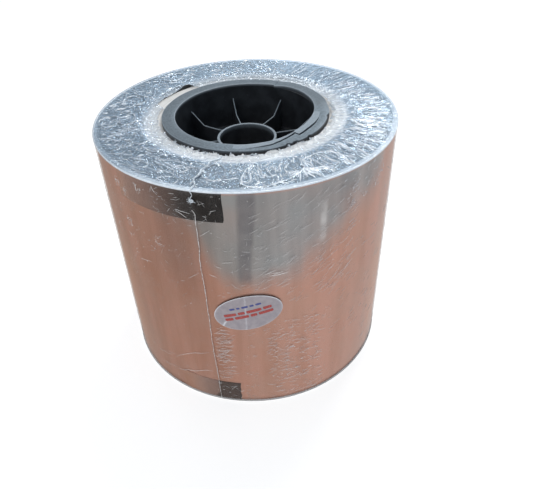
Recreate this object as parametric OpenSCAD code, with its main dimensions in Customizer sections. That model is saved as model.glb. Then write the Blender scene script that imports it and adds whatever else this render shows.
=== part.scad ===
// Roll of copper foil tape on a cardboard core, sleeved in clear film, with a flanged
// plastic plug pushed into each end of the core. Millimetres, +Z up the roll's axis,
// origin at the centre of the face it stands on, -Y towards the film's weld and the label.

/* [Roll] */
// Outer diameter over the clear film
roll_d = 152; // [140:1:170]
// Overall height, from one plug flange to the other
roll_h = 138.4; // [100:0.2:200]
// How far each plug flange stands out of the film's end face
flange_proud = 0.2; // [0.1:0.1:1]
// Gap kept between pieces that lie on each other
lay_gap = 0.05; // [0.02:0.01:0.1]

/* [Cardboard core] */
// Outside diameter of the cardboard tube
core_od = 103; // [96:0.5:110]
// Bore of the cardboard tube, a three-inch core
core_id = 76.2; // [75.8:0.1:78]

/* [Foil] */
// Layer between the core and the first wrap, which the starting tape fills in one place
first_wrap_gap = 0.25; // [0.2:0.05:0.5]
// How far the first wraps stand off the core on their slack side
slack_gap = 1.4; // [0.6:0.1:2.5]
// Direction of the slack side, in degrees from +X
slack_az = 135; // [0:5:355]
// Arc of the core that the starting tape covers, in degrees
start_tape_arc = 30; // [10:5:60]
// Direction of the middle of the starting tape, in degrees from +X
start_tape_az = -135; // [-180:5:180]

/* [Black holding tapes] */
// Thickness of the black tape
tape_t = 0.16; // [0.1:0.02:0.2]
// Direction of both tapes' cut ends, in degrees from +X
tape_end_az = -98.6; // [-120:0.2:-60]
// Width of the upper tape
top_tape_w = 14.4; // [10:0.2:20]
// Arc that the upper tape covers, in degrees
top_tape_arc = 41.4; // [20:0.2:60]
// Width of the lower tape
bottom_tape_w = 15; // [10:0.2:24]
// Arc that the lower tape covers, in degrees
bottom_tape_arc = 26; // [10:0.2:60]

/* [Clear film] */
// Thickness drawn for the film and its wrinkles
film_t = 0.4; // [0.3:0.1:0.6]
// Diameter of the film's hole round each plug flange
film_hole_d = 88; // [86:0.5:95]
// Direction of the weld that closes the sleeve, in degrees from +X
weld_az = -108.4; // [-180:0.2:0]
// Radius of the weld's bead
weld_r = 0.3; // [0.2:0.05:0.4]

/* [Oval label] */
// Length of the label along its long axis
label_l = 34; // [20:1:50]
// Width of the label across its short axis
label_w = 21.6; // [12:0.2:30]
// Thickness of the label
label_t = 0.12; // [0.08:0.02:0.2]
// Height of the label's middle above the floor
label_z = 70.3; // [40:0.1:90]
// Direction of the label's middle, in degrees from +X
label_az = -93.3; // [-180:0.1:0]
// Tilt of the long axis, in degrees
label_tilt = 16; // [-45:1:45]

/* [Plugs] */
// Diameter of the flange
flange_d = 85; // [80:0.5:86]
// Thickness of the flange
flange_t = 2.6; // [2:0.1:4]
// Radial clearance between the plug's sleeve and the core's bore
plug_clearance = 0.3; // [0.1:0.05:0.5]
// Diameter of the bowl at its mouth
bowl_d = 71.2; // [66:0.2:72]
// How much narrower the bowl is at its floor
bowl_draft = 0.6; // [0:0.1:2]
// Depth of the bowl's floor below the flange's face
bowl_depth = 24.5; // [20:0.5:34]
// Thickness of the bowl's floor
floor_t = 2.5; // [1.5:0.1:4]
// Diameter of the hole that takes the shaft
hub_hole_d = 28.4; // [20:0.2:30]
// Outside diameter of the tube round that hole
hub_od = 31.2; // [31:0.2:34]
// Depth of the hub's rim below the flange's face
hub_drop = 14; // [12:0.5:17]
// Number of fins between the hub and the bowl's wall
fin_count = 8; // [4:1:10]
// Thickness of a fin
fin_t = 1.5; // [1:0.1:2.5]
// Direction of the first fin, in degrees from +X
fin_az = 10.7; // [0:0.1:45]
// Radius at which a fin's top edge turns up
fin_kink_r = 27.6; // [22:0.2:30]
// Depth of that turn below the flange's face
fin_kink_drop = 14.3; // [14:0.1:17]
// Depth of a fin's outer end below the flange's face
fin_end_drop = 7.8; // [5:0.1:11]
// Size of the chamfers on the flange's edges
edge_chamfer = 0.5; // [0.2:0.1:1]

/* [Split in the upper plug's flange] */
// Width of the split
split_w = 0.6; // [0.4:0.1:1]
// Depth of the split
split_depth = 1.4; // [0.5:0.1:2]
// Radius of the split's outer stretch
split_outer_r = 39.6; // [38.8:0.1:40.4]
// Radius of the split's inner stretch
split_inner_r = 37.3; // [37:0.1:38]
// Where the outer stretch starts, in degrees from +X
split_start_az = -112; // [-150:1:-90]
// Where the split steps inwards, in degrees from +X
split_step_az = -58; // [-80:1:-30]
// Where the inner stretch ends, in degrees from +X
split_end_az = -18; // [-25:1:10]

/* [Hidden] */

roll_r = roll_d / 2;
film_z0 = flange_proud;
film_z1 = roll_h - flange_proud;
pack_r = roll_r - film_t - tape_t - 2 * lay_gap;
pack_bore_r = core_od / 2 + first_wrap_gap;
pack_z0 = film_z0 + film_t + lay_gap;
pack_z1 = film_z1 - film_t - lay_gap;
core_z0 = flange_t;
core_z1 = roll_h - flange_t;
sleeve_r = core_id / 2 - plug_clearance;
plug_depth = bowl_depth + floor_t;
bowl_r = bowl_d / 2;
bowl_floor_r = (bowl_d - bowl_draft) / 2;
cut = 1;
smooth = 180;
fine = 48;

black_plastic = [0.15, 0.16, 0.18];
black_tape = [0.17, 0.16, 0.16];
copper = [0.66, 0.49, 0.43];
cardboard = [0.80, 0.77, 0.74];
clear_film = [0.78, 0.84, 0.90, 0.45];
label_white = [0.72, 0.69, 0.74];
cream_tape = [0.85, 0.80, 0.66];

// Band on a cylinder: inner radius r, thickness t, from height z, height h, over arc degrees
module band(r, t, z, h, az, arc) {
    rotate([0, 0, az])
        rotate_extrude(angle = arc, $fn = smooth)
            translate([r, z])
                square([t, h]);
}

// Cardboard tube, which the plugs' flanges sit on at both ends
module core_tube() {
    color(cardboard)
        difference() {
            translate([0, 0, core_z0])
                cylinder(d = core_od, h = core_z1 - core_z0, $fn = smooth);
            translate([0, 0, core_z0 - cut])
                cylinder(d = core_id, h = core_z1 - core_z0 + 2 * cut, $fn = smooth);
        }
}

// Wound tape, with a crescent gap where its first wraps are slack on the core
module foil_pack() {
    bore_h = pack_z1 - pack_z0 + 2 * cut;
    color(copper)
        difference() {
            translate([0, 0, pack_z0])
                cylinder(r = pack_r, h = pack_z1 - pack_z0, $fn = smooth);
            translate([0, 0, pack_z0 - cut])
                cylinder(r = pack_bore_r, h = bore_h, $fn = smooth);
            rotate([0, 0, slack_az])
                translate([slack_gap, 0, pack_z0 - cut])
                    cylinder(r = pack_bore_r, h = bore_h, $fn = smooth);
        }
}

// Strip that sticks the tape's first wrap to the core
module start_tape() {
    strip_t = first_wrap_gap - 2 * lay_gap;
    strip_az = start_tape_az - start_tape_arc / 2;
    color(cream_tape)
        band(core_od / 2 + lay_gap, strip_t, core_z0 + cut, core_z1 - core_z0 - 2 * cut,
             strip_az, start_tape_arc);
}

// Black tape over the upper corner of the foil's loose end
module tail_tape_top() {
    color(black_tape)
        band(pack_r + lay_gap, tape_t, pack_z1 - top_tape_w, top_tape_w,
             tape_end_az - top_tape_arc, top_tape_arc);
}

// Black tape over the lower corner of the foil's loose end
module tail_tape_bottom() {
    color(black_tape)
        band(pack_r + lay_gap, tape_t, pack_z0, bottom_tape_w,
             tape_end_az - bottom_tape_arc, bottom_tape_arc);
}

// Clear sleeve, folded in over both ends and down onto the core's ends
module wrap_film() {
    lip_r = film_hole_d / 2;
    turn_r = pack_bore_r - lay_gap;
    inner_r = roll_r - film_t;
    core_lift = core_z0 - lay_gap;
    color(clear_film)
        union() {
            rotate_extrude($fn = smooth)
                polygon([
                    [roll_r, film_z0], [roll_r, film_z1],
                    [turn_r - film_t, film_z1], [turn_r - film_t, roll_h - core_lift + film_t],
                    [lip_r, roll_h - core_lift + film_t], [lip_r, roll_h - core_lift],
                    [turn_r, roll_h - core_lift], [turn_r, film_z1 - film_t],
                    [inner_r, film_z1 - film_t], [inner_r, film_z0 + film_t],
                    [turn_r, film_z0 + film_t], [turn_r, core_lift],
                    [lip_r, core_lift], [lip_r, core_lift - film_t],
                    [turn_r - film_t, core_lift - film_t], [turn_r - film_t, film_z0]
                ]);
            rotate([0, 0, weld_az])
                translate([roll_r, 0, film_z0])
                    cylinder(r = weld_r, h = film_z1 - film_z0, $fn = fine);
        }
}

// Oval label on the outside of the film, blank
module oval_label() {
    outline = [for (i = [0 : fine - 1])
        [label_l / 2 * cos(360 * i / fine), label_w / 2 * sin(360 * i / fine)]];
    color(label_white)
        intersection() {
            translate([0, 0, label_z - label_l])
                difference() {
                    cylinder(r = roll_r + label_t, h = 2 * label_l, $fn = smooth);
                    translate([0, 0, -cut])
                        cylinder(r = roll_r, h = 2 * label_l + 2 * cut, $fn = smooth);
                }
            rotate([0, 0, label_az + 90])
                translate([0, 0, label_z])
                    rotate([90, 0, 0])
                        linear_extrude(roll_r + cut)
                            rotate([0, 0, label_tilt])
                                polygon(outline);
        }
}

// Plug body of revolution, flange face at Z = 0 and the sleeve below it
module plug_shell() {
    rotate_extrude($fn = smooth)
        polygon([
            [hub_hole_d / 2, -plug_depth], [sleeve_r - edge_chamfer, -plug_depth],
            [sleeve_r, -plug_depth + edge_chamfer], [sleeve_r, -flange_t],
            [flange_d / 2, -flange_t], [flange_d / 2, -edge_chamfer],
            [flange_d / 2 - edge_chamfer, 0], [bowl_r + edge_chamfer, 0],
            [bowl_r, -edge_chamfer], [bowl_floor_r, -bowl_depth],
            [hub_od / 2, -bowl_depth], [hub_od / 2, -hub_drop],
            [hub_hole_d / 2, -hub_drop]
        ]);
}

// One fin along +X: level from the hub, then up to the bowl's wall
module plug_fin() {
    root = 0.6;
    rotate([90, 0, 0])
        linear_extrude(fin_t, center = true)
            polygon([
                [hub_od / 2 - root, -bowl_depth - root], [bowl_floor_r + root, -bowl_depth - root],
                [bowl_r + root, -fin_end_drop], [bowl_r, -fin_end_drop],
                [fin_kink_r, -fin_kink_drop], [hub_od / 2 - root, -hub_drop - root]
            ]);
}

// Whole plug, flange face at Z = 0
module plug() {
    union() {
        plug_shell();
        for (i = [0 : fin_count - 1])
            rotate([0, 0, fin_az + i * 360 / fin_count])
                plug_fin();
    }
}

// Split in a flange: an outer arc, a short step inwards and an inner arc
module flange_split() {
    band(split_outer_r - split_w / 2, split_w, -split_depth, split_depth + cut,
         split_start_az, split_step_az - split_start_az);
    band(split_inner_r - split_w / 2, split_w, -split_depth, split_depth + cut,
         split_step_az, split_end_az - split_step_az);
    rotate([0, 0, split_step_az])
        translate([split_inner_r - split_w / 2, -split_w / 2, -split_depth])
            cube([split_outer_r - split_inner_r + split_w, split_w, split_depth + cut]);
}

// Upper plug, whose flange has split
module top_plug() {
    color(black_plastic)
        translate([0, 0, roll_h])
            difference() {
                plug();
                flange_split();
            }
}

// Lower plug, the same moulding turned over
module bottom_plug() {
    color(black_plastic)
        rotate([180, 0, 0])
            plug();
}

core_tube();
foil_pack();
start_tape();
tail_tape_top();
tail_tape_bottom();
wrap_film();
oval_label();
top_plug();
bottom_plug();
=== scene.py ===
"""Looks of the copper foil tape roll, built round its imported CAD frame, with +Z up the roll. Sizes are in
millimetres up to the stage, and Shape.mesh and the calls for nodes turn them into the frame's metres."""

import itertools
from math import acos, ceil, cos, degrees, pi, radians, sin, tan

import bpy
import numpy as np
from mathutils import Matrix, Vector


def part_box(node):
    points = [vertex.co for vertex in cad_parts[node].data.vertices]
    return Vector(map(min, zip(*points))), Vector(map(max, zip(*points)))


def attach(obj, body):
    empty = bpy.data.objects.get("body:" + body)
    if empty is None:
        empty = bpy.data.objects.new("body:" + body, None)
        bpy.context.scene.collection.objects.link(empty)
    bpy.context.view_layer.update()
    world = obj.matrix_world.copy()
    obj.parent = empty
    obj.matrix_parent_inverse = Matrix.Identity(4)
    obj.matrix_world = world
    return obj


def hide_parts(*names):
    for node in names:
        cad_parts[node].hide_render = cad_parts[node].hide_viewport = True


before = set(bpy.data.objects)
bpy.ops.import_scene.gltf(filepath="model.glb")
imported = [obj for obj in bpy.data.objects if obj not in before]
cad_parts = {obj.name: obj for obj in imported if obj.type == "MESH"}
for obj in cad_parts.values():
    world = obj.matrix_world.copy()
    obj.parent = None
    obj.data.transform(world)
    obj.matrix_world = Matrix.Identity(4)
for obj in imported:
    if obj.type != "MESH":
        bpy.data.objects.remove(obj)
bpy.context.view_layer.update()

MM = 0.001

# Sizes that the frame gives
FILM_LOW, FILM_HIGH = (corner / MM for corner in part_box("wrap_film"))
PACK_LOW, PACK_HIGH = (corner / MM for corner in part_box("foil_pack"))
CORE_LOW, CORE_HIGH = (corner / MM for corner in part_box("core_tube"))
PLUG_LOW, PLUG_HIGH = (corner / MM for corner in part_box("top_plug"))
ROLL_R = FILM_HIGH.x
RIM_TURN = 0.6
FILM_Z0, FILM_Z1 = FILM_LOW.z, FILM_HIGH.z
PACK_R, PACK_Z0, PACK_Z1 = PACK_HIGH.x, PACK_LOW.z, PACK_HIGH.z
CORE_R, CORE_Z0, CORE_Z1 = CORE_HIGH.x, CORE_LOW.z, CORE_HIGH.z
PLUG_R, PLUG_TOP = PLUG_HIGH.x, PLUG_HIGH.z
PLUG_DEPTH = PLUG_HIGH.z - PLUG_LOW.z

# Sizes that the design gives and the boxes don't show
CORE_BORE_R = 38.1
PACK_BORE_R = 51.75
SLACK_GAP, SLACK_AZ = 1.4, radians(135)
TAPE_END_AZ = radians(-98.6)
TAPE_T = 0.16
WELD_AZ = radians(-108.4)
LABEL_AZ, LABEL_Z, LABEL_TILT = radians(-93.3), 70.3, radians(16)
LABEL_L, LABEL_W, LABEL_T = 34, 21.6, 0.12
SLEEVE_R, FLANGE_T = 37.8, 2.6
BOWL_R, BOWL_FLOOR_R, BOWL_DEPTH = 35.6, 35.3, 24.5
HUB_R, HUB_HOLE_R, HUB_DROP = 15.6, 14.2, 14
FIN_COUNT, FIN_T, FIN_AZ = 8, 1.5, radians(10.7)
FIN_KINK_R, FIN_KINK_DROP, FIN_END_DROP = 27.6, 14.3, 7.8
# The film's torn hole, the edge of the core under it, and the radius where its radial pleats are measured
FILM_HOLE_R, TORN_R, PLEAT_R = 44.3, 50.5, 62
# The split in the upper flange, in degrees: its two ends, its jag, and where the pushed-in lip ends
SPLIT_START, SPLIT_END, SPLIT_JAG, LIP_END = -100, -8.0, -50, 62.0
SPLIT_HALF = 0.4


# ---------------------------------------------------------------- noise over arrays of points

def hashed(cells, seed):
    """Random numbers from 0 to 1 for whole-number cells, the same on every run."""
    c = cells.astype(np.int64).astype(np.uint64)
    n = c[..., 0] * np.uint64(73856093) ^ c[..., 1] * np.uint64(19349663) ^ c[..., 2] * np.uint64(83492791)
    n = n ^ np.uint64(seed * 2654435761 + 97)
    for multiplier in (2246822519, 3266489917):
        n = (n ^ (n >> np.uint64(15))) * np.uint64(multiplier) & np.uint64(0xFFFFFFFF)
    return (n ^ (n >> np.uint64(16))) / float(0xFFFFFFFF)


def noise(points, size, seed):
    """Smooth noise from -1 to 1, with features about size across."""
    p = points / size
    cell = np.floor(p)
    t = p - cell
    t = t * t * t * (t * (t * 6 - 15) + 10)
    total = 0.0
    for corner in itertools.product((0, 1), repeat=3):
        weight = np.prod(np.where(np.array(corner) == 1, t, 1 - t), axis=-1)
        total = total + weight * hashed(cell + np.array(corner), seed)
    return 2 * total - 1


def layered(points, size, seed):
    """Noise with two finer layers over it, from about -1 to 1."""
    shares = [1.0, 0.5, 0.25]
    rough = sum(s * noise(points, size * s, seed + k) for k, s in enumerate(shares))
    return rough / sum(shares)


def ridges(points, size, seed, sharp=3.0):
    """Thin winding ridges, from 0 between them to 1 on them."""
    return (1 - np.abs(noise(points, size, seed))) ** sharp


def step(value, low, high):
    """0 below low, 1 above high and smooth between, either way round."""
    t = np.clip((value - low) / (high - low), 0, 1)
    return t * t * (3 - 2 * t)


def window(value, low, high, soft):
    """1 between low and high, falling to 0 over soft outside them."""
    return step(value, low - soft, low) * (1 - step(value, high, high + soft))


def plan(x, y, z=0.0):
    """Points from their coordinates."""
    return np.stack(np.broadcast_arrays(x, y, z), axis=-1).astype(float)


def round_axis(radius, az, z):
    """Points at a radius, an azimuth in radians and a height."""
    return plan(radius * np.cos(az), radius * np.sin(az), z)


# ---------------------------------------------------------------- meshes

def grid_faces(rows, cols, ring=False, tube=False):
    """Quads of a grid of points. A ring's last column meets its first, and a tube's last row its first."""
    i, j = np.meshgrid(np.arange(rows if tube else rows - 1), np.arange(cols if ring else cols - 1),
                       indexing="ij")
    below, beside = (i + 1) % rows, (j + 1) % cols
    corners = [i * cols + j, i * cols + beside, below * cols + beside, below * cols + j]
    return np.stack(corners, axis=-1).reshape(-1, 4)


class Shape:
    """Points, faces and named values per point, gathered from several patches."""

    def __init__(self):
        self.points, self.faces, self.values, self.count = [], [], {}, 0

    def add(self, points, faces, flip=False, **values):
        """Adds a patch. Its values are numbers or arrays with one number per point."""
        points = points.reshape(-1, 3)
        faces = np.asarray(faces) + self.count
        self.faces.extend((faces[:, ::-1] if flip else faces).tolist())
        self.points.append(points)
        for name in {**self.values, **values}:
            had = self.values.setdefault(name, [np.zeros(self.count)])
            had.append(np.broadcast_to(np.asarray(values.get(name, 0.0)).reshape(-1), len(points)))
        self.count += len(points)

    def grid(self, points, ring=False, tube=False, flip=False, **values):
        """Adds a grid of rows by columns."""
        self.add(points, grid_faces(*points.shape[:2], ring, tube), flip, **values)

    def fan(self, loop, flip=False, **values):
        """Closes a loop of points with triangles round its middle."""
        n = len(loop)
        points = np.vstack([loop, loop.mean(axis=0)])
        faces = [[k, (k + 1) % n, n] for k in range(n)]
        self.add(points, faces, flip, **values)

    def mesh(self, name):
        """The Blender mesh, smooth, with its values as attributes."""
        mesh = bpy.data.meshes.new(name)
        mesh.from_pydata(np.concatenate(self.points) * MM, [], self.faces)
        for key, parts in self.values.items():
            layer = mesh.attributes.new(key, "FLOAT", "POINT")
            layer.data.foreach_set("value", np.concatenate(parts).astype(np.float32))
        mesh.shade_smooth()
        return mesh


def piece(name, shape, material, body, stands_for, sharp=None):
    """Makes an object of the shape, which rides on the body in place of the nodes it stands for. Edges over
    sharp degrees stay crisp."""
    mesh = shape.mesh(name)
    obj = bpy.data.objects.new(name, mesh)
    bpy.context.scene.collection.objects.link(obj)
    mesh.materials.append(material)
    if sharp:
        mesh.set_sharp_from_angle(angle=radians(sharp))
    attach(obj, body)
    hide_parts(*stands_for)


def film_piece(name, shape, material):
    """Makes a piece of the clear film."""
    piece(name, shape, material, "roll", ["wrap_film"])


def outline(corners, spacing, closed=True, steps=4):
    """A profile through (r, z, fillet radius) corners, rounded by arcs and cut into stretches."""
    points = []
    n = len(corners)
    for k, (r, z, fillet) in enumerate(corners):
        here = np.array([r, z])
        if fillet == 0 or (not closed and k in (0, n - 1)):
            points.append(here)
            continue
        back = np.array(corners[k - 1][:2]) - here
        ahead = np.array(corners[(k + 1) % n][:2]) - here
        back, ahead = back / np.linalg.norm(back), ahead / np.linalg.norm(ahead)
        half = acos(np.clip(back @ ahead, -1, 1)) / 2
        reach = fillet / tan(half)
        middle = here + (back + ahead) / np.linalg.norm(back + ahead) * fillet / sin(half)
        first, last = here + back * reach - middle, here + ahead * reach - middle
        turn = pi - 2 * half
        for s in range(steps + 1):
            t = s / steps
            arm = (first * sin((1 - t) * turn) + last * sin(t * turn)) / sin(turn)
            points.append(middle + arm)
    cut = []
    ends = points[1:] + points[:1] if closed else points[1:]
    for a, b in zip(points, ends):
        pieces = max(1, ceil(np.linalg.norm(b - a) / spacing))
        cut += [a + (b - a) * s / pieces for s in range(pieces)]
    return np.array(cut if closed else cut + [points[-1]])


def turned(profile, around, radius=None, height=None):
    """A profile turned about the axis: rows along the profile, columns round it."""
    az = np.linspace(0, 2 * pi, around, endpoint=False)[None, :]
    r, z = profile[:, 0][:, None] + 0 * az, profile[:, 1][:, None] + 0 * az
    if radius:
        r = radius(r, az, z)
    if height:
        z = height(r, az, z)
    return round_axis(r, az, z)


def tube(shape, path, radii):
    """A round tube along a path of points, closed at both ends."""
    along = np.gradient(path, axis=0)
    along /= np.linalg.norm(along, axis=1)[:, None]
    side = np.cross(along, [0.0, 0.0, 1.0])
    weak = np.linalg.norm(side, axis=1) < 0.3
    side[weak] = np.cross(along[weak], [1.0, 0.0, 0.0])
    side /= np.linalg.norm(side, axis=1)[:, None]
    up = np.cross(side, along)
    sides = 8
    turn = np.linspace(0, 2 * pi, sides, endpoint=False)[None, :, None]
    radii = np.broadcast_to(radii, len(path))[:, None, None]
    rings = path[:, None, :] + radii * (np.cos(turn) * side[:, None, :] + np.sin(turn) * up[:, None, :])
    shape.grid(rings, ring=True)
    shape.fan(rings[0], flip=True)
    shape.fan(rings[-1])


def folds(shape, lines, widths, heights, marks, place, matt=0.0):
    """Pinched folds in the film: thin tapered ridges along lines (folds by points by 2) on a surface."""
    along = np.gradient(lines, axis=1)
    along /= np.maximum(np.linalg.norm(along, axis=2, keepdims=True), 1e-9)
    across = np.stack([-along[..., 1], along[..., 0]], axis=-1)
    t = np.linspace(0, 1, lines.shape[1])
    taper = np.sqrt(np.sin(np.pi * (0.02 + 0.96 * t)))[None, :]
    half = (widths[:, None] * taper / 2)[..., None]
    sunk = np.full(taper.shape, -0.06) + 0 * widths[:, None]
    rows = [place(lines - across * half, sunk),
            place(lines, heights[:, None] * taper),
            place(lines + across * half, sunk)]
    points = np.stack(rows, axis=1)
    each = grid_faces(3, lines.shape[1])
    per = 3 * lines.shape[1]
    faces = (np.arange(len(lines))[:, None, None] * per + each[None]).reshape(-1, 4)
    mark, matt = np.repeat(marks, per), np.repeat(np.broadcast_to(matt, len(lines)), per)
    shape.add(points, faces, flip=True, crease=mark, matt=matt)


def random_folds(shape, rng, lines, width, height, mark, place, power=1.0, matt=0.0):
    """Folds along the lines, with widths, heights and marks drawn from their ranges in this order."""
    n = len(lines)
    widths, heights = rng.uniform(*width, n), rng.uniform(*height, n)
    folds(shape, lines, widths, heights, rng.uniform(*mark, n) ** power, place, matt)


def strokes(rng, starts, angles, lengths, bend):
    """Gently bent lines from their middles, directions and lengths, with some shake."""
    points = 7
    t = np.linspace(-0.5, 0.5, points)[None, :]
    turn = angles[:, None] + bend[:, None] * t
    dx, dy = np.cos(turn), np.sin(turn)
    x = np.cumsum(dx, axis=1) / points
    y = np.cumsum(dy, axis=1) / points
    x, y = x - x.mean(axis=1, keepdims=True), y - y.mean(axis=1, keepdims=True)
    shake = rng.normal(0, 0.010, (2, *x.shape))
    return starts[:, None, :] + lengths[:, None, None] * np.stack([x + shake[0], y + shake[1]], axis=-1)


# ---------------------------------------------------------------- materials

class Nodes:
    """A node tree, with short calls for the nodes used here."""

    def __init__(self, tree, coordinates):
        self.tree = tree
        self.place = self.node("ShaderNodeTexCoord").outputs[coordinates]

    def node(self, kind, **settings):
        made = self.tree.nodes.new(kind)
        for key, value in settings.items():
            setattr(made, key, value)
        return made

    def join(self, value, socket):
        """Links an output to a socket, or sets the socket's own value."""
        if isinstance(value, bpy.types.NodeSocket):
            self.tree.links.new(value, socket)
        else:
            socket.default_value = value

    def math(self, operation, a, b=0.0):
        made = self.node("ShaderNodeMath", operation=operation)
        self.join(a, made.inputs[0])
        self.join(b, made.inputs[1])
        return made.outputs[0]

    def times(self, a, b):
        return self.math("MULTIPLY", a, b)

    def plus(self, a, b):
        return self.math("ADD", a, b)

    def mix(self, share, a, b):
        made = self.node("ShaderNodeMix", data_type="RGBA")
        self.join(share, made.inputs[0])
        self.join(a if isinstance(a, bpy.types.NodeSocket) else (*a, 1), made.inputs[6])
        self.join(b if isinstance(b, bpy.types.NodeSocket) else (*b, 1), made.inputs[7])
        return made.outputs[2]

    def spread(self, value, low, high, to_low=0.0, to_high=1.0):
        """value taken smoothly from low..high to to_low..to_high."""
        made = self.node("ShaderNodeMapRange", interpolation_type="SMOOTHSTEP")
        for socket, number in zip(made.inputs, (value, low, high, to_low, to_high)):
            self.join(number, socket)
        return made.outputs[0]

    def tone(self, value, low, high, dark, light):
        """The dark colour where value is below low, and the light one above high."""
        return self.mix(self.spread(value, low, high), dark, light)

    def over(self, colour, value, low, high, share, tint):
        """A share of tint laid over the colour where value is above high, and none below low."""
        return self.mix(self.spread(value, low, high, 0.0, share), colour, tint)

    def marked(self, colour, name, tint):
        """Tint laid over the colour where the mesh has the mark."""
        return self.mix(self.attribute(name), colour, tint)

    def noise(self, size, where=None, detail=3.0, roughness=0.55, distortion=0.0):
        made = self.node("ShaderNodeTexNoise")
        self.join(where or self.place, made.inputs["Vector"])
        made.inputs["Scale"].default_value = 1 / (size * MM)
        made.inputs["Detail"].default_value = detail
        made.inputs["Roughness"].default_value = roughness
        made.inputs["Distortion"].default_value = distortion
        return made.outputs[0]

    def cells(self, size, where=None):
        made = self.node("ShaderNodeTexVoronoi")
        self.join(where or self.place, made.inputs["Vector"])
        made.inputs["Scale"].default_value = 1 / (size * MM)
        return made.outputs["Distance"]

    def attribute(self, name):
        return self.node("ShaderNodeAttribute", attribute_name=name).outputs["Fac"]

    def split(self):
        made = self.node("ShaderNodeSeparateXYZ")
        self.join(self.place, made.inputs[0])
        return made.outputs

    def vector(self, x, y, z):
        made = self.node("ShaderNodeCombineXYZ")
        for socket, value in zip(made.inputs, (x, y, z)):
            self.join(value, socket)
        return made.outputs[0]

    def unrolled(self, radius, squash_z):
        """Coordinates unrolled from the cylinder: arc length, 0 and height times squash_z."""
        x, y, z = self.split()
        arc = self.times(self.math("ARCTAN2", y, x), radius * MM)
        return self.vector(arc, 0.0, self.times(z, squash_z))

    def radius(self):
        x, y, _ = self.split()
        return self.math("SQRT", self.plus(self.times(x, x), self.times(y, y)))


class Shader(Nodes):
    """A material with one Principled surface."""

    def __init__(self, name):
        self.material = bpy.data.materials.new(name)
        self.material.use_nodes = True
        super().__init__(self.material.node_tree, "Object")
        self.surface = self.tree.nodes["Principled BSDF"]

    def set(self, **values):
        """Sets the surface's sockets, with spaces for underscores in their names."""
        for key, value in values.items():
            self.join(value, self.surface.inputs[key.replace("_", " ")])

    def bump(self, height, depth):
        """Gives the surface a fine relief and returns its normal."""
        made = self.node("ShaderNodeBump")
        made.inputs["Strength"].default_value = 1.0
        made.inputs["Distance"].default_value = depth * MM
        self.join(height, made.inputs["Height"])
        self.set(Normal=made.outputs[0])
        return made.outputs[0]


def copper_foil():
    """Rolled copper foil with a faint grain along the roll's axis, and painted reflections, highlight and
    shade where marked.
    """
    s = Shader("copper_foil")
    broad = s.noise(9, s.unrolled(PACK_R, 0.08), detail=4)
    grain = s.noise(0.5, s.unrolled(PACK_R, 0.03), detail=2)
    cloud = s.noise(22, detail=3)
    copper = s.tone(broad, 0.3, 0.7, (0.585, 0.315, 0.235), (0.71, 0.405, 0.32))
    copper = s.over(copper, cloud, 0.35, 0.75, 0.5, (0.60, 0.38, 0.30))
    # Painted light laid over the copper where marked: the grey reflection of the upper front, an orange
    # reflection on the sides, dark streaks, a highlight and shade
    painted_reflection = s.tone(broad, 0.3, 0.7, (0.330, 0.366, 0.385), (0.450, 0.480, 0.492))
    copper = s.marked(copper, "warm", (0.80, 0.36, 0.17))
    colour = s.marked(copper, "painted_reflection", painted_reflection)
    colour = s.marked(colour, "painted_dark_streak", (0.24, 0.24, 0.26))
    colour = s.marked(colour, "painted_highlight", (0.92, 0.92, 0.92))
    colour = s.marked(colour, "shade", (0.10, 0.095, 0.095))
    s.set(Base_Color=colour, Metallic=0.85)
    s.set(Roughness=s.spread(s.plus(broad, s.times(grain, 0.4)), 0.4, 1.0, 0.30, 0.46))
    s.bump(s.plus(grain, s.times(broad, 2.0)), 0.02)
    return s.material


def wound_end():
    """End of the winding: hair-fine turns of liner and foil edges, pale blue-grey."""
    s = Shader("wound_end")
    r = s.radius()
    turns = s.noise(0.55, s.vector(r, 0.0, 0.0), detail=4, roughness=0.8)
    bands = s.noise(3.4, s.vector(r, 0.0, 0.0), detail=2)
    cloud = s.noise(14, detail=4)
    colour = s.tone(turns, 0.35, 0.65, (0.065, 0.088, 0.11), (0.17, 0.21, 0.245))
    colour = s.over(colour, bands, 0.35, 0.7, 0.45, (0.09, 0.115, 0.14))
    colour = s.over(colour, cloud, 0.5, 0.8, 0.35, (0.20, 0.24, 0.28))
    # On the bore wall: a pale tone, and painted shade that darkens it most on the slack side
    colour = s.marked(colour, "pale", (0.55, 0.54, 0.53))
    colour = s.marked(colour, "shade", (0.10, 0.095, 0.088))
    s.set(Base_Color=colour, Metallic=0.25, Roughness=0.5)
    s.bump(turns, 0.12)
    return s.material


def core_board():
    """Spiral-wound board: pale pinkish grey, ply lines on its ends, fibres all over."""
    s = Shader("core_board")
    plies = s.noise(0.8, s.vector(s.radius(), 0.0, 0.0), detail=3, roughness=0.7)
    fibres = s.noise(0.7, detail=5, roughness=0.7, distortion=0.6)
    stain = s.noise(12, detail=3)
    colour = s.tone(plies, 0.35, 0.65, (0.56, 0.535, 0.51), (0.74, 0.715, 0.69))
    colour = s.over(colour, fibres, 0.5, 0.75, 0.4, (0.80, 0.775, 0.75))
    colour = s.over(colour, stain, 0.5, 0.75, 0.35, (0.46, 0.41, 0.36))
    s.set(Base_Color=colour, Roughness=0.85)
    s.bump(s.plus(fibres, plies), 0.15)
    return s.material


def masking_tape():
    """Cream paper tape with a fine crepe across it."""
    s = Shader("masking_tape")
    crepe = s.noise(0.6, s.unrolled(CORE_R, 6.0), detail=2)
    s.set(Base_Color=s.tone(crepe, 0.3, 0.7, (0.60, 0.50, 0.31), (0.74, 0.66, 0.45)), Roughness=0.8)
    s.bump(crepe, 0.1)
    return s.material


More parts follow.
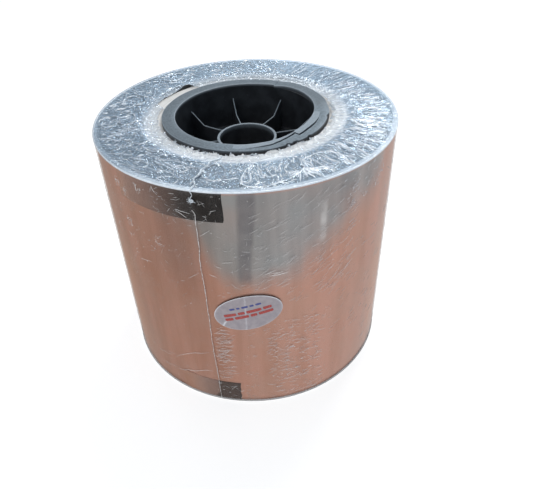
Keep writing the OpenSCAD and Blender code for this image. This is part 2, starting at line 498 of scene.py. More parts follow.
def black_tape():
    """Black plastic tape, brownish where its adhesive lets the copper through."""
    s = Shader("black_tape")
    grain = s.noise(1.2, s.unrolled(PACK_R, 0.3), detail=4)
    dust = s.spread(s.noise(0.35, detail=2), 0.66, 0.78)
    fade = s.attribute("fade")
    colour = s.mix(fade, (0.008, 0.008, 0.009), (0.36, 0.205, 0.155))
    colour = s.over(colour, grain, 0.45, 0.8, 0.2, (0.05, 0.038, 0.034))
    colour = s.mix(s.times(dust, 0.08), colour, (0.30, 0.28, 0.27))
    bare = s.spread(fade, 0.80, 1.0)
    colour = s.mix(bare, colour, (0.60, 0.34, 0.25))
    s.set(Base_Color=colour, Roughness=s.spread(grain, 0.3, 0.8, 0.28, 0.5))
    s.set(Metallic=s.times(bare, 0.85), Specular_IOR_Level=0.3)
    s.bump(grain, 0.05)
    return s.material


def film_crumple(s, size):
    """Height of fine crumples: facets with sharp edges, drawn out along the radius where marked."""
    x, y, _ = s.split()
    arc = s.times(s.math("ARCTAN2", y, x), PLEAT_R * MM)
    radial = s.vector(arc, s.times(s.radius(), 0.14), 0.0)
    heights = []
    for where, size in ((s.place, size), (radial, 0.62 * size)):
        facets = s.plus(s.cells(size, where), s.times(s.cells(0.45 * size, where), 0.5))
        heights.append(s.plus(facets, s.noise(0.5 * size, where, detail=4, distortion=0.8)))
    radial_share = s.attribute("pleat")
    even = s.times(heights[0], s.math("SUBTRACT", 1.0, radial_share))
    return s.plus(even, s.times(heights[1], radial_share))


def clear_film(name, tint, milk, layers, height, depth, roughness):
    """Clear film: its gloss covers what is under it, the more so the flatter it is looked at. Creases and
    doubled stretches are milky. Layers says how many times over it mirrors, less where it is matt."""
    s = Shader(name)
    relief = height(s)
    normal = s.bump(relief, depth)
    aslant = s.node("ShaderNodeLayerWeight")
    s.join(normal, aslant.inputs["Normal"])
    head_on = 0.04
    mirrored = s.times(s.math("POWER", aslant.outputs["Facing"], 5.0), 1 - head_on)
    gloss = s.times(s.plus(mirrored, head_on), layers)
    gloss = s.times(gloss, s.math("SUBTRACT", 1.0, s.attribute("matt")))
    crease = s.attribute("crease")
    dull = s.plus(s.attribute("haze"), milk)
    dull = s.plus(dull, s.times(crease, 0.85))
    cover = s.plus(gloss, dull)
    white = s.mix(s.attribute("matt"), (0.95, 0.97, 1.0), (1.0, 0.93, 0.86))
    colour = s.mix(crease, tint, white)
    s.set(Base_Color=colour, Metallic=s.math("DIVIDE", gloss, cover), Roughness=roughness)
    s.set(Alpha=s.math("MINIMUM", cover, 0.97))
    return s.material


def weld_plastic(name, dark, light):
    """Melted, milky film along the weld."""
    s = Shader(name)
    lumps = s.noise(1.1, detail=3)
    s.set(Base_Color=s.tone(lumps, 0.3, 0.7, dark, light))
    s.set(Roughness=0.3, IOR=1.5, Alpha=s.spread(lumps, 0.3, 0.6, 0.55, 0.95))
    s.bump(lumps, 0.15)
    return s.material


def label_face():
    """Frosted label stock, lavender white, with a paler crease across it."""
    s = Shader("label_face")
    mottle = s.noise(2.6, detail=4)
    grain = s.noise(0.4, detail=2)
    colour = s.tone(mottle, 0.3, 0.7, (0.325, 0.288, 0.315), (0.40, 0.353, 0.373))
    colour = s.marked(colour, "crease", (0.80, 0.80, 0.84))
    s.set(Base_Color=colour, Roughness=0.38, Coat_Weight=0.3, Coat_Roughness=0.2)
    s.bump(grain, 0.03)
    return s.material


def print_ink(name, dark, light):
    """Printing ink, a little starved in places."""
    s = Shader(name)
    starved = s.noise(0.5, detail=3)
    s.set(Base_Color=s.tone(starved, 0.45, 0.75, dark, light), Roughness=0.45)
    s.bump(starved, 0.01)
    return s.material


def black_plastic():
    """Moulded black plastic with scratches and dust, grey where marked: partly scuffs, partly painted sheen.
    """
    s = Shader("black_plastic")
    scratch = s.noise(0.9, detail=5, roughness=0.75, distortion=0.8)
    cloud = s.noise(7, detail=4)
    dust = s.spread(s.cells(1.9), 0.10, 0.05)
    wear = s.attribute("wear")
    colour = s.tone(cloud, 0.35, 0.7, (0.015, 0.016, 0.019), (0.030, 0.033, 0.038))
    scuff_and_sheen_grey = s.tone(scratch, 0.35, 0.7, (0.088, 0.115, 0.135), (0.205, 0.25, 0.285))
    # Grey where marked: partly scuffs, partly painted sheen
    colour = s.mix(wear, colour, scuff_and_sheen_grey)
    colour = s.mix(s.times(dust, 0.22), colour, (0.42, 0.42, 0.44))
    # Paler where the edge mark is: partly edge wear, partly painted highlights on bevels, rims, crests and
    # the lip
    colour = s.marked(colour, "edge", (0.50, 0.55, 0.60))
    s.set(Base_Color=colour, Roughness=s.spread(s.plus(cloud, wear), 0.3, 1.5, 0.36, 0.62))
    s.bump(s.plus(scratch, s.times(cloud, 2.0)), 0.06)
    return s.material


def floor_paint():
    """Plain pale floor."""
    s = Shader("floor_paint")
    s.set(Base_Color=(0.47, 0.46, 0.455, 1), Roughness=0.9, Specular_IOR_Level=0.1)
    s.set(Emission_Color=(1, 1, 1, 1), Emission_Strength=0.71)
    return s.material


# ---------------------------------------------------------------- the winding and its core

def slack_bore(az):
    """Radius of the winding's bore, which stands off the core on its slack side."""
    turn = az - SLACK_AZ
    shifted = SLACK_GAP * np.cos(turn) + np.sqrt(PACK_BORE_R**2 - (SLACK_GAP * np.sin(turn)) ** 2)
    return np.maximum(PACK_BORE_R, shifted)


def foil_marks(az, z):
    """Marks on the foil's side by their names, all painted light: a grey reflection on the upper front with a
    sagging, streaky lower edge, dark streaks and a highlight patch in it, shade left of it, and an orange
    reflection on the sides."""
    deg, drop = np.degrees(az), PACK_Z1 - z
    where = round_axis(PACK_R, az, z)
    # Outline of the painted grey reflection on the upper front
    left = np.exp(-(((deg + 90) / 18.0) ** 4))
    right = np.exp(-(((deg + 90) / 33.0) ** 2))
    lower = 10 + 40 * np.where(deg < -90, left, right)
    lower = lower + 3 * noise(where * [1, 1, 0.12], 4, 41) + 3 * noise(where, 14, 42)
    soft = 8 + 4 * step(-deg, 84, 110) + 7 * step(deg, -88, -70)
    inside = 1 - step(drop, lower - soft, lower + soft)
    fade = 0.88 + 0.12 * noise(where, 9, 43)
    leant = deg + 1.4 * step(drop, 0, 45) + 0.25 * noise(round_axis(PACK_R, az, z * 0.3), 6, 44)
    blotchy = 0.85 + 0.3 * noise(where, 3.5, 46)
    # Painted dark upright streaks in the grey reflection, and fainter ones further right
    dark = 0.92 * window(leant, -93.4, -89.5 - 1.2 * step(drop, 10, 40), 1.8)
    dark = dark * (1 - step(drop, 44, 53)) * blotchy
    faint = 0.30 * window(leant, -58, -54, 4) * (1 - step(drop, 6, 22))
    # A painted highlight patch in the grey reflection
    painted_highlight_patch = 0.5 * window(deg, -66.1, -65.3, 1.4) * window(drop, 14, 28, 6)
    # Painted orange reflection low on both sides, the warm mark
    sides = window(deg, -158, -151, 10) + window(deg, -29, -22, 10)
    # The shade mark is painted shade below the top tape, left of the grey reflection
    return {"painted_reflection": inside * fade * window(deg, -120, -40, 8) * step(drop, 0.6, 1.3),
            "painted_dark_streak": np.maximum(dark, faint),
            "painted_highlight": painted_highlight_patch * (0.75 + 0.5 * noise(where, 3, 45)),
            "shade": 0.30 * np.exp(-(((deg + 117) / 9.0) ** 2)) * (1 - step(drop, 34, 74)),
            "warm": 0.38 * sides * window(drop, 70, 105, 34)}


def foil_waves(r, az, z):
    """Radius of the winding's side: faint buckles along the axis and the edge of the last turn."""
    deg = np.degrees((az + pi) % (2 * pi) - pi)
    where = round_axis(PACK_R, az, 0.06 * z)
    buckle = 0.045 * layered(where, 11, 11) + 0.02 * noise(where, 3, 12)
    tail = -0.09 * window(deg, -128, -118, 0.6)
    groove = -0.12 * window(deg, -95, -91, 1.5) * step(z, 80, 100)
    return r - 0.05 + np.where(r > PACK_R - 0.2, buckle + tail + groove, 0.0)


def build_foil():
    """The wound foil: its side, its two ends and the slack bore."""
    foil, ends = Shape(), Shape()
    corner = 0.25
    az = np.linspace(-pi, pi, 900, endpoint=False)[None, :]
    z = np.linspace(PACK_Z0 + corner, PACK_Z1 - corner, 90)[:, None]
    side = foil_waves(PACK_R + 0 * az * z, az, z + 0 * az)
    foil.grid(round_axis(side, az, z), ring=True, **foil_marks(az, z))
    for low in (False, True):
        edge = side[0] if low else side[-1]
        bore = slack_bore(az[0]) + 0.1 * noise(round_axis(PACK_BORE_R, az[0], 0.0), 5, 21)
        t = np.linspace(0, 1, 60)[:, None]
        r = edge + (bore - edge) * t
        step_down = 0.10 * layered(plan(r, 0.0, 0.0), 1.6, 22) - 0.10
        lean = 0.12 * noise(round_axis(r, az, 0.0), 22, 23)
        rim = -corner * (1 - np.sqrt(np.clip(1 - (1 - np.clip((edge - r) / corner, 0, 1)) ** 2, 0, 1)))
        depth = step_down * step(edge - r, 0, 1) + lean * step(edge - r, 0, 2) + rim
        height = PACK_Z0 - depth if low else PACK_Z1 + depth
        ends.grid(round_axis(r, az, height), ring=True, flip=low)
    bore_z = np.linspace(PACK_Z0 + 0.2, PACK_Z1 - 0.2, 12)[:, None]
    # Painted shade on the bore wall, deepest where the winding stands off the core; the rest of the wall is
    # pale
    slack = 0.35 + 0.5 * window(np.degrees(az), 127, 134, 4) + 0 * bore_z
    ends.grid(round_axis(slack_bore(az), az, bore_z), ring=True, flip=True, shade=slack, pale=1 - slack)
    piece("foil_pack_side", foil, copper_foil(), "roll", ["foil_pack"])
    piece("foil_pack_ends", ends, wound_end(), "roll", ["foil_pack"])


def build_core():
    """Board tube with softened, slightly uneven ends."""
    core = Shape()
    fillet = 0.5
    profile = outline([(CORE_BORE_R, CORE_Z0, fillet), (CORE_R, CORE_Z0, fillet),
                       (CORE_R, CORE_Z1, fillet), (CORE_BORE_R, CORE_Z1, fillet)], spacing=1.5)

    def uneven(r, az, z):
        lumps = 0.07 * layered(round_axis(r, az, z), 4, 31)
        ends = np.minimum(z - CORE_Z0, CORE_Z1 - z) < 0.6
        return z + np.where(ends, np.sign(CORE_Z1 / 2 - z) * np.abs(lumps), 0.0)

    core.grid(turned(profile, 360, height=uneven), ring=True, tube=True, flip=True)
    piece("core_board_tube", core, core_board(), "roll", ["core_tube"])


def build_tape(name, node, end_az, arc, z0, z1, fades, seed):
    """A strip of black tape on the winding's side, with a snipped end and soft wrinkles. Fades gives how far
    the copper shows through, by the distance past the weld in millimetres."""
    strip = Shape()
    cols = max(40, int(PACK_R * arc / 0.6))
    t = np.linspace(0, 1, cols)[None, :]
    v = np.linspace(0, 1, 28)[:, None]
    z = z0 + (z1 - z0) * v + 0 * t
    cut = 0.25 * noise(plan(0, 0, z), 2.5, seed) / PACK_R
    az = end_az - arc * (1 - t) + cut * t
    where = round_axis(PACK_R, az, z)
    lift = 0.05 * layered(where, 5, seed + 1) + 0.02 * ridges(where, 2.2, seed + 2)
    past_weld = (WELD_AZ - az) * PACK_R
    shade = np.interp(past_weld + 2 * noise(where, 8, seed + 3), *zip(*fades))
    rim = np.minimum(np.minimum(t, 1 - t) * arc * PACK_R, np.minimum(v, 1 - v) * (z1 - z0))
    top = PACK_R + TAPE_T + lift - 0.06 * (1 - step(rim, 0, 0.6))
    outer, inner = round_axis(top, az, z), round_axis(PACK_R - 0.02 + 0 * az, az, z)
    strip.grid(outer, fade=shade)
    strip.grid(inner, flip=True, fade=shade)
    for a, b, f in ((outer[0], inner[0], shade[0]), (inner[-1], outer[-1], shade[-1]),
                    (inner[:, 0], outer[:, 0], shade[:, 0]), (outer[:, -1], inner[:, -1], shade[:, -1])):
        strip.grid(np.stack([a, b]), flip=True, fade=np.concatenate([f, f]))
    piece(name, strip, TAPE_BLACK, "roll", [node], sharp=50)


# ---------------------------------------------------------------- the film

# Places where the film is stuck down round a pocket of air: azimuth in degrees, radius, half sizes, turn
POCKETS = [(-176, 68, 5.0, 6.0, 0), (-179, 60, 4.6, 8.0, 10), (-167, 55, 4.0, 7.5, -15),
           (-160, 60, 3.4, 6.0, 20), (161, 62, 6.0, 7.5, -30), (-143, 54.5, 3.6, 6.0, 30),
           (-114, 64, 6.0, 5.0, 10), (-126, 58, 7.0, 5.0, -35), (-80.5, 60.8, 15.5, 10.0, 40),
           (-60, 62.5, 9.0, 6.5, 32), (-104, 61, 5.0, 6.5, 0), (128, 65, 6.5, 5.0, 40)]


def pocket_frame(pocket):
    """Middle, half sizes and turn in radians of a pocket."""
    az, r, half_a, half_b, turn = pocket
    middle = np.array([r * cos(radians(az)), r * sin(radians(az))])
    return middle, half_a, half_b, radians(turn)


def in_pocket(x, y, pocket):
    """Distance from a pocket's middle, 1 on its outline, with a wobbly outline."""
    middle, half_a, half_b, turn = pocket_frame(pocket)
    dx, dy = x - middle[0], y - middle[1]
    a = (dx * cos(turn) + dy * sin(turn)) / half_a
    b = (dy * cos(turn) - dx * sin(turn)) / half_b
    wobble = 0.16 * noise(plan(x, y), 6, 50)
    return np.hypot(a, b) + wobble


def film_edge(az, low):
    """Radius of the film's torn inner edge round the plug. It is torn away from the core on one side."""
    deg = np.degrees(az)
    ragged = 0.9 * noise(round_axis(45, az, 0.0), 2.2, 61 + low)
    ragged = ragged + 0.5 * noise(round_axis(45, az, 0.0), 0.8, 63 + low)
    edge = FILM_HOLE_R + ragged
    if not low:
        edge = edge - 0.7 * window(deg, 70, 118, 10)
        torn = TORN_R + 0.5 * noise(round_axis(52, az, 0.0), 3, 65)
        torn = torn + 0.7 * window(deg, 131, 135, 3)
        edge = edge + (torn - edge) * window(deg, 128, 160, 3)
    return edge


def end_drop(x, y, low):
    """How far the film lies inside its flat end plane, wrinkles included. It steps down onto the core."""
    r, az = np.hypot(x, y), np.arctan2(y, x)
    deg = np.degrees(az)
    side = 400 if low else 0
    where = plan(x, y)
    warp = np.stack([noise(where, 7, 70 + side), noise(where, 7, 71 + side), 0 * r], axis=-1)
    bent = where + 1.6 * warp
    right = window(deg, -68, 68, 14) if not low else 0.5 + 0 * deg
    flow = window(deg, -176, -118, 10) if not low else 0 * deg
    crumple = 0.20 * ridges(bent, 4.0, 72 + side, 2.0) + 0.13 * ridges(bent, 1.8, 73 + side, 2.0)
    crumple = crumple + 0.07 * noise(bent, 1.2, 74 + side)
    fan = plan(az * PLEAT_R + 0.3 * warp[..., 0], r / 7, 0.0)
    pleats = 0.26 * ridges(fan, 1.5, 75 + side, 1.6) + 0.10 * noise(fan, 0.9, 76 + side)
    lean = radians(-27)
    along = bent[..., 0] * cos(lean) + bent[..., 1] * sin(lean)
    across = bent[..., 1] * cos(lean) - bent[..., 0] * sin(lean)
    streams = 0.34 * ridges(plan(along / 5, across), 2.2, 77 + side, 1.6)
    relief = crumple * (1 - 0.55 * right - 0.45 * flow) + pleats * right + streams * flow
    if not low:
        for pocket in POCKETS:
            d = in_pocket(x, y, pocket)
            relief = relief * (1 - 0.55 * (1 - step(d, 0.7, 0.95)))
            relief = relief + 0.34 * np.exp(-(((d - 1) / 0.085) ** 2))
    quiet = step(ROLL_R - r, 1.6, 4.2)
    on_core = np.clip((53.6 - r) / 7.6, 0, 1) ** 0.8
    fine = 0.15 * ridges(bent, 1.5, 78 + side, 1.5) + 0.05 * noise(where, 0.9, 79 + side)
    fine = fine * (1 - right) + 0.16 * ridges(fan, 1.2, 82 + side, 1.5) * right
    relief = relief * (1 - 0.75 * on_core) + fine * on_core
    hang = 0.0 if low else window(deg, 128, 160, 5)
    sag = 0.22 * quiet + (1.95 if low else 1.5) * on_core * (1 - 0.7 * hang)
    sag = sag + 0.05 * noise(where, 16, 80 + side) * quiet
    near_edge = r - film_edge(az, low)
    curl = 0.9 * (1 - step(near_edge, 0, 1.2)) * step(noise(where, 2.4, 81), -0.3, 0.5)
    lifted = 0.4 + (0.0 if low else 0.5 * window(deg, -70, 24, 16))
    curl = (curl + lifted * (1 - step(near_edge, 0, 3.5))) * (1 - hang)
    droop = 0.0 if low else 1.35 * window(deg, 136, 162, 5) * (1 - step(near_edge, 0, 2.4))
    return sag + droop - relief * quiet - curl


def film_rim(r):
    """How far the film lies inside the end plane where it turns down over the rim."""
    reach = np.clip((r - (ROLL_R - RIM_TURN)) / RIM_TURN, 0, 1)
    return RIM_TURN * (1 - np.sqrt(np.clip(1 - reach**2, 0, 1)))


def end_place(low):
    """Places points by (x, y) and lift on the film's end."""
    def place(at, lift):
        x, y = at[..., 0], at[..., 1]
        depth = end_drop(x, y, low) + film_rim(np.hypot(x, y)) - lift
        return plan(x, y, np.maximum(FILM_Z0 + depth, 0.01) if low else FILM_Z1 - depth)
    return place


def build_film_end(low):
    """The film folded in over one end of the roll, crinkled, with a torn edge round the plug."""
    name = "film_bottom" if low else "film_top"
    cols, rows = (640, 44) if low else (1120, 82)
    az = np.linspace(-pi, pi, cols, endpoint=False)[None, :]
    t = np.linspace(0, 1, rows)[:, None]
    rim_rows = np.sin(np.linspace(0, pi / 2, 6))[::-1][:, None]
    r_rim = ROLL_R - RIM_TURN * (1 - rim_rows)
    r_flat = (ROLL_R - RIM_TURN) + (film_edge(az, low) - (ROLL_R - RIM_TURN)) * t[1:]
    r = np.concatenate([r_rim + 0 * az, r_flat])
    x, y = r * np.cos(az), r * np.sin(az)
    points = end_place(low)(np.stack([x, y], axis=-1), 0.0)
    deg = np.degrees(az) + 0 * r
    relief = -end_drop(x, y, low)
    slope = np.hypot(*np.gradient(relief)) / 0.4
    crest = step(slope, 0.45, 1.3) * step(ROLL_R - r, 1.5, 4)
    rim_band = window(ROLL_R - r, 0, 2.2, 1)
    turned_down = 1 - step(ROLL_R - r, 0.2, 0.8)
    on_core = 1 - step(r, 49, 53)
    # Painted light over the gap between core and winding, which hides the shade in it
    painted_light_over_gap = window(r, 50.2, 53.4, 1.2)
    # Painted highlight: haze and crease make a milky band along the rim, strongest on the bottom end to
    # lighten the dark line at the base
    haze = (0.45 if low else 0.14) * rim_band + 0.10 * turned_down
    # Painted light: the end is made milkier towards the front, where the glints crowd
    near = window(deg, -125, -15, 20)
    haze = haze + 0.03 * noise(plan(x, y), 12, 90) + 0.06 * on_core + 0.14 * painted_light_over_gap
    crease = (0.20 + 0.14 * near) * crest + (0.09 + 0.26 * near) * rim_band + 0.40 * turned_down
    crease = crease + 0.05 * near + (0.29 + 0.27 * near) * on_core + 0.10 * painted_light_over_gap
    pleat = 0.0 if low else 0.85 * window(deg, -70, 68, 14)
    film = Shape()
    matt = np.maximum(0.7 * on_core, turned_down if low else 0.0)
    film.grid(points, ring=True, flip=low, crease=crease, haze=haze, pleat=pleat, matt=matt)
    film_piece(name, film, FILM_END)
    ribbons = Shape()
    add_end_folds(ribbons, low)
    film_piece(name + "_folds", ribbons, FILM_END)


def add_end_folds(film, low):
    """Pinched folds on an end: radial pleats, small crinkles, pocket outlines and torn fringe."""
    rng = np.random.default_rng(5 + low)
    place = end_place(low)

    def scatter(count, az_range, r_range, angle, spread, length, width, height, mark, bend=0.8):
        az = np.radians(rng.uniform(*az_range, count))
        r = np.sqrt(rng.uniform(r_range[0] ** 2, r_range[1] ** 2, count))
        spots = round_axis(r, az, 0.0)[:, :2]
        turn = az if angle is None else np.full(count, radians(angle))
        turn = turn + rng.normal(0, radians(spread), count)
        size = rng.uniform(*length, count)
        lines = strokes(rng, spots, turn, size, rng.normal(0, bend, count))
        reach = np.linalg.norm(lines, axis=2)
        inside = (reach.max(axis=1) < ROLL_R - 1.0) & (reach.min(axis=1) > r_range[0] - 1.5)
        edge = film_edge(np.arctan2(lines[..., 1], lines[..., 0]), low)
        inside &= (reach > edge + 0.3).all(axis=1)
        random_folds(film, rng, lines[inside], width, height, mark, place, 1.6)

    if low:
        scatter(500, (-180, 180), (53, 74), None, 40, (2, 10), (0.3, 0.6), (0.1, 0.3), (0.1, 0.9))
        scatter(200, (-180, 180), (46, 52), None, 50, (1, 3), (0.2, 0.4), (0.1, 0.2), (0.1, 0.8))
        return
    scatter(420, (-68, 66), (53, 74.5), None, 7, (4, 14), (0.28, 0.6), (0.12, 0.34), (0.15, 0.9), 0.3)
    scatter(150, (-60, -18), (54, 74), -50, 10, (4, 12), (0.35, 0.8), (0.15, 0.4), (0.2, 1.0), 0.3)
    scatter(200, (-178, -118), (53, 74), -27, 14, (3, 11), (0.3, 0.6), (0.1, 0.3), (0.1, 0.75), 0.7)
    scatter(420, (66, 180), (53, 73), 10, 60, (1.5, 6), (0.25, 0.55), (0.1, 0.3), (0.1, 1.0))
    scatter(220, (-180, -120), (52, 72), 20, 70, (1, 4), (0.25, 0.5), (0.1, 0.3), (0.15, 0.95), 1.8)
    scatter(330, (-122, -58), (52, 73), -75, 45, (1, 5), (0.28, 0.72), (0.12, 0.36), (0.2, 1.0), 1.4)
    scatter(320, (-180, 180), (45.5, 52), None, 45, (1, 3.2), (0.2, 0.4), (0.08, 0.22), (0.2, 1.0))
    scatter(260, (-60, 100), (45, 54), None, 9, (2, 6), (0.2, 0.4), (0.08, 0.22), (0.3, 1.0))
    scatter(240, (-180, -60), (45.5, 52.5), None, 60, (0.8, 2.6), (0.15, 0.35), (0.08, 0.25), (0.4, 1.0), 1.2)
    scatter(60, (-95, -64), (50, 71), -88, 9, (2.5, 8), (0.35, 0.8), (0.18, 0.42), (0.35, 1.0), 0.5)
    star = np.array([21.7, -60.5])
    rays = np.radians(rng.uniform(-160, 10, 34))
    size = rng.uniform(4, 12, 34)
    heads = star + np.stack([np.cos(rays), np.sin(rays)], axis=-1) * (size[:, None] / 2 + 0.8)
    lines = strokes(rng, heads, rays, size, rng.normal(0, 0.3, 34))
    lines = lines[np.linalg.norm(lines, axis=2).max(axis=1) < ROLL_R - 1]
    random_folds(film, rng, lines, (0.4, 0.9), (0.2, 0.4), (0.4, 1.0), place)
    for pocket in POCKETS:
        middle, half_a, half_b, turn = pocket_frame(pocket)
        t = np.linspace(0, 2 * pi, 97)
        grow = 1 + 0.05 * np.sin(3 * t + pocket[1]) + rng.normal(0, 0.008, 97)
        grow[-1] = grow[0]
        a, b = half_a * np.cos(t) * grow, half_b * np.sin(t) * grow
        loop = middle + np.stack([a * cos(turn) - b * sin(turn),
                                  a * sin(turn) + b * cos(turn)], axis=-1)
        arcs = np.stack([loop[k:k + 13] for k in range(0, 96, 12)])
        reach = np.linalg.norm(arcs, axis=2)
        arcs = arcs[(reach.max(axis=1) < ROLL_R - 1) & (reach.min(axis=1) > 48)]
        bold = 1.7 if half_a > 8 else 1.0
        folds(film, arcs, bold * rng.uniform(0.32, 0.52, len(arcs)), rng.uniform(0.2, 0.35, len(arcs)),
              np.minimum(1, bold * rng.uniform(0.35, 0.75, len(arcs))), place)
    count = 130
    az = np.radians(rng.uniform(-175, 120, count))
    edge = film_edge(az, low)
    turn = az + rng.normal(0, 0.5, count)
    middle = round_axis(edge - 0.2, az, 0.0)[:, :2]
    lines = strokes(rng, middle, turn, rng.uniform(1.2, 3.2, count), rng.normal(0, 0.9, count))
    lines = lines[np.linalg.norm(lines, axis=2).min(axis=1) > PLUG_R + 0.4]
    random_folds(film, rng, lines, (0.18, 0.34), (0.3, 0.9), (0.5, 1.0), place)


def side_radius(az, z):
    """Radius of the film's sleeve, with soft hollows between its creases."""
    where = round_axis(ROLL_R, az, z)
    soft = 0.06 * layered(where, 14, 101) + 0.035 * noise(where * [1, 1, 2.2], 5, 102)
    fine = 0.022 * noise(where * [1, 1, 1.8], 1.9, 103)
    calm = step(np.minimum(z - FILM_Z0, FILM_Z1 - z), 0.5, 3)
    return ROLL_R - 0.14 + (soft + fine) * calm


def side_place(at, lift):
    """Places points by (arc length, height) and lift on the sleeve."""
    az = at[..., 0] / ROLL_R
    return round_axis(side_radius(az, at[..., 1]) + lift, az, at[..., 1])


def build_film_side():
    """The sleeve, denser in front, with its creases."""
    front = np.linspace(-pi, 0, 720, endpoint=False)
    back = np.linspace(0, pi, 420, endpoint=False)
    az = np.concatenate([front, back])[None, :]
    rim = RIM_TURN
    ends = rim * (1 - np.cos(np.linspace(0, pi / 2, 5)))[:-1]
    z = np.concatenate([FILM_Z0 + ends, np.linspace(FILM_Z0 + rim, FILM_Z1 - rim, 76), FILM_Z1 - ends[::-1]])
    z = z[:, None]
    inside = np.clip(rim - np.minimum(z - FILM_Z0, FILM_Z1 - z), 0, rim)
    bulge = rim - np.sqrt(np.clip(rim**2 - inside**2, 0, None))
    blend = step(inside, 0, rim)
    r = side_radius(az, z) * (1 - blend) + (ROLL_R - 0.06) * blend - bulge
    deg = np.degrees(az) + 0 * z
    where = round_axis(ROLL_R, az, z)
    double = window(deg, -158, degrees(WELD_AZ), 1.0) * (0.55 + 0.3 * layered(where, 9, 111))
    mist = 0.02 * layered(where, 20, 112) + 0.015 * noise(where, 4, 113)
    # Painted highlight: the top of the sleeve is made milky, a pale band along the rim over the foil's dark
    # corner
    edge = 0.50 * (1 - step(FILM_Z1 - z, 0.2, 0.7))
    film = Shape()
    # The bottom 1.2 mm is milky and matt: partly crinkled turned-under film, partly painted light that hides
    # the dark line at the base
    crease = 0.8 * (1 - step(z - FILM_Z0, 0.4, 1.2)) + 0 * az
    film.grid(round_axis(r, az, z), ring=True, haze=0.045 * double + mist + edge, crease=crease, matt=crease)
    film_piece("film_side", film, FILM_SIDE)
    ribbons = Shape()
    add_side_folds(ribbons)
    film_piece("film_side_folds", ribbons, FILM_SIDE)


# Single long creases: azimuth in degrees, height, slope in degrees, length, width, bend
LONG_CREASES = [(-118.5, 19, 22, 29, 0.2, 0.1), (-119.5, 31.5, 37, 33, 0.17, -0.7),
                (-81.7, 93, 5, 9, 0.4, 0.1), (-105.5, 117, 38, 7, 0.2, 0), (-112, 91, 36, 8, 0.17, 0),
                (-104.5, 93, -19, 4, 0.22, 0), (-99, 101.5, 6, 6, 0.17, 0), (-133, 90, 12, 10, 0.16, 0),
                (-113, 125.7, -34, 7, 0.24, 0), (-112.3, 127, -9, 8, 0.24, 0)]


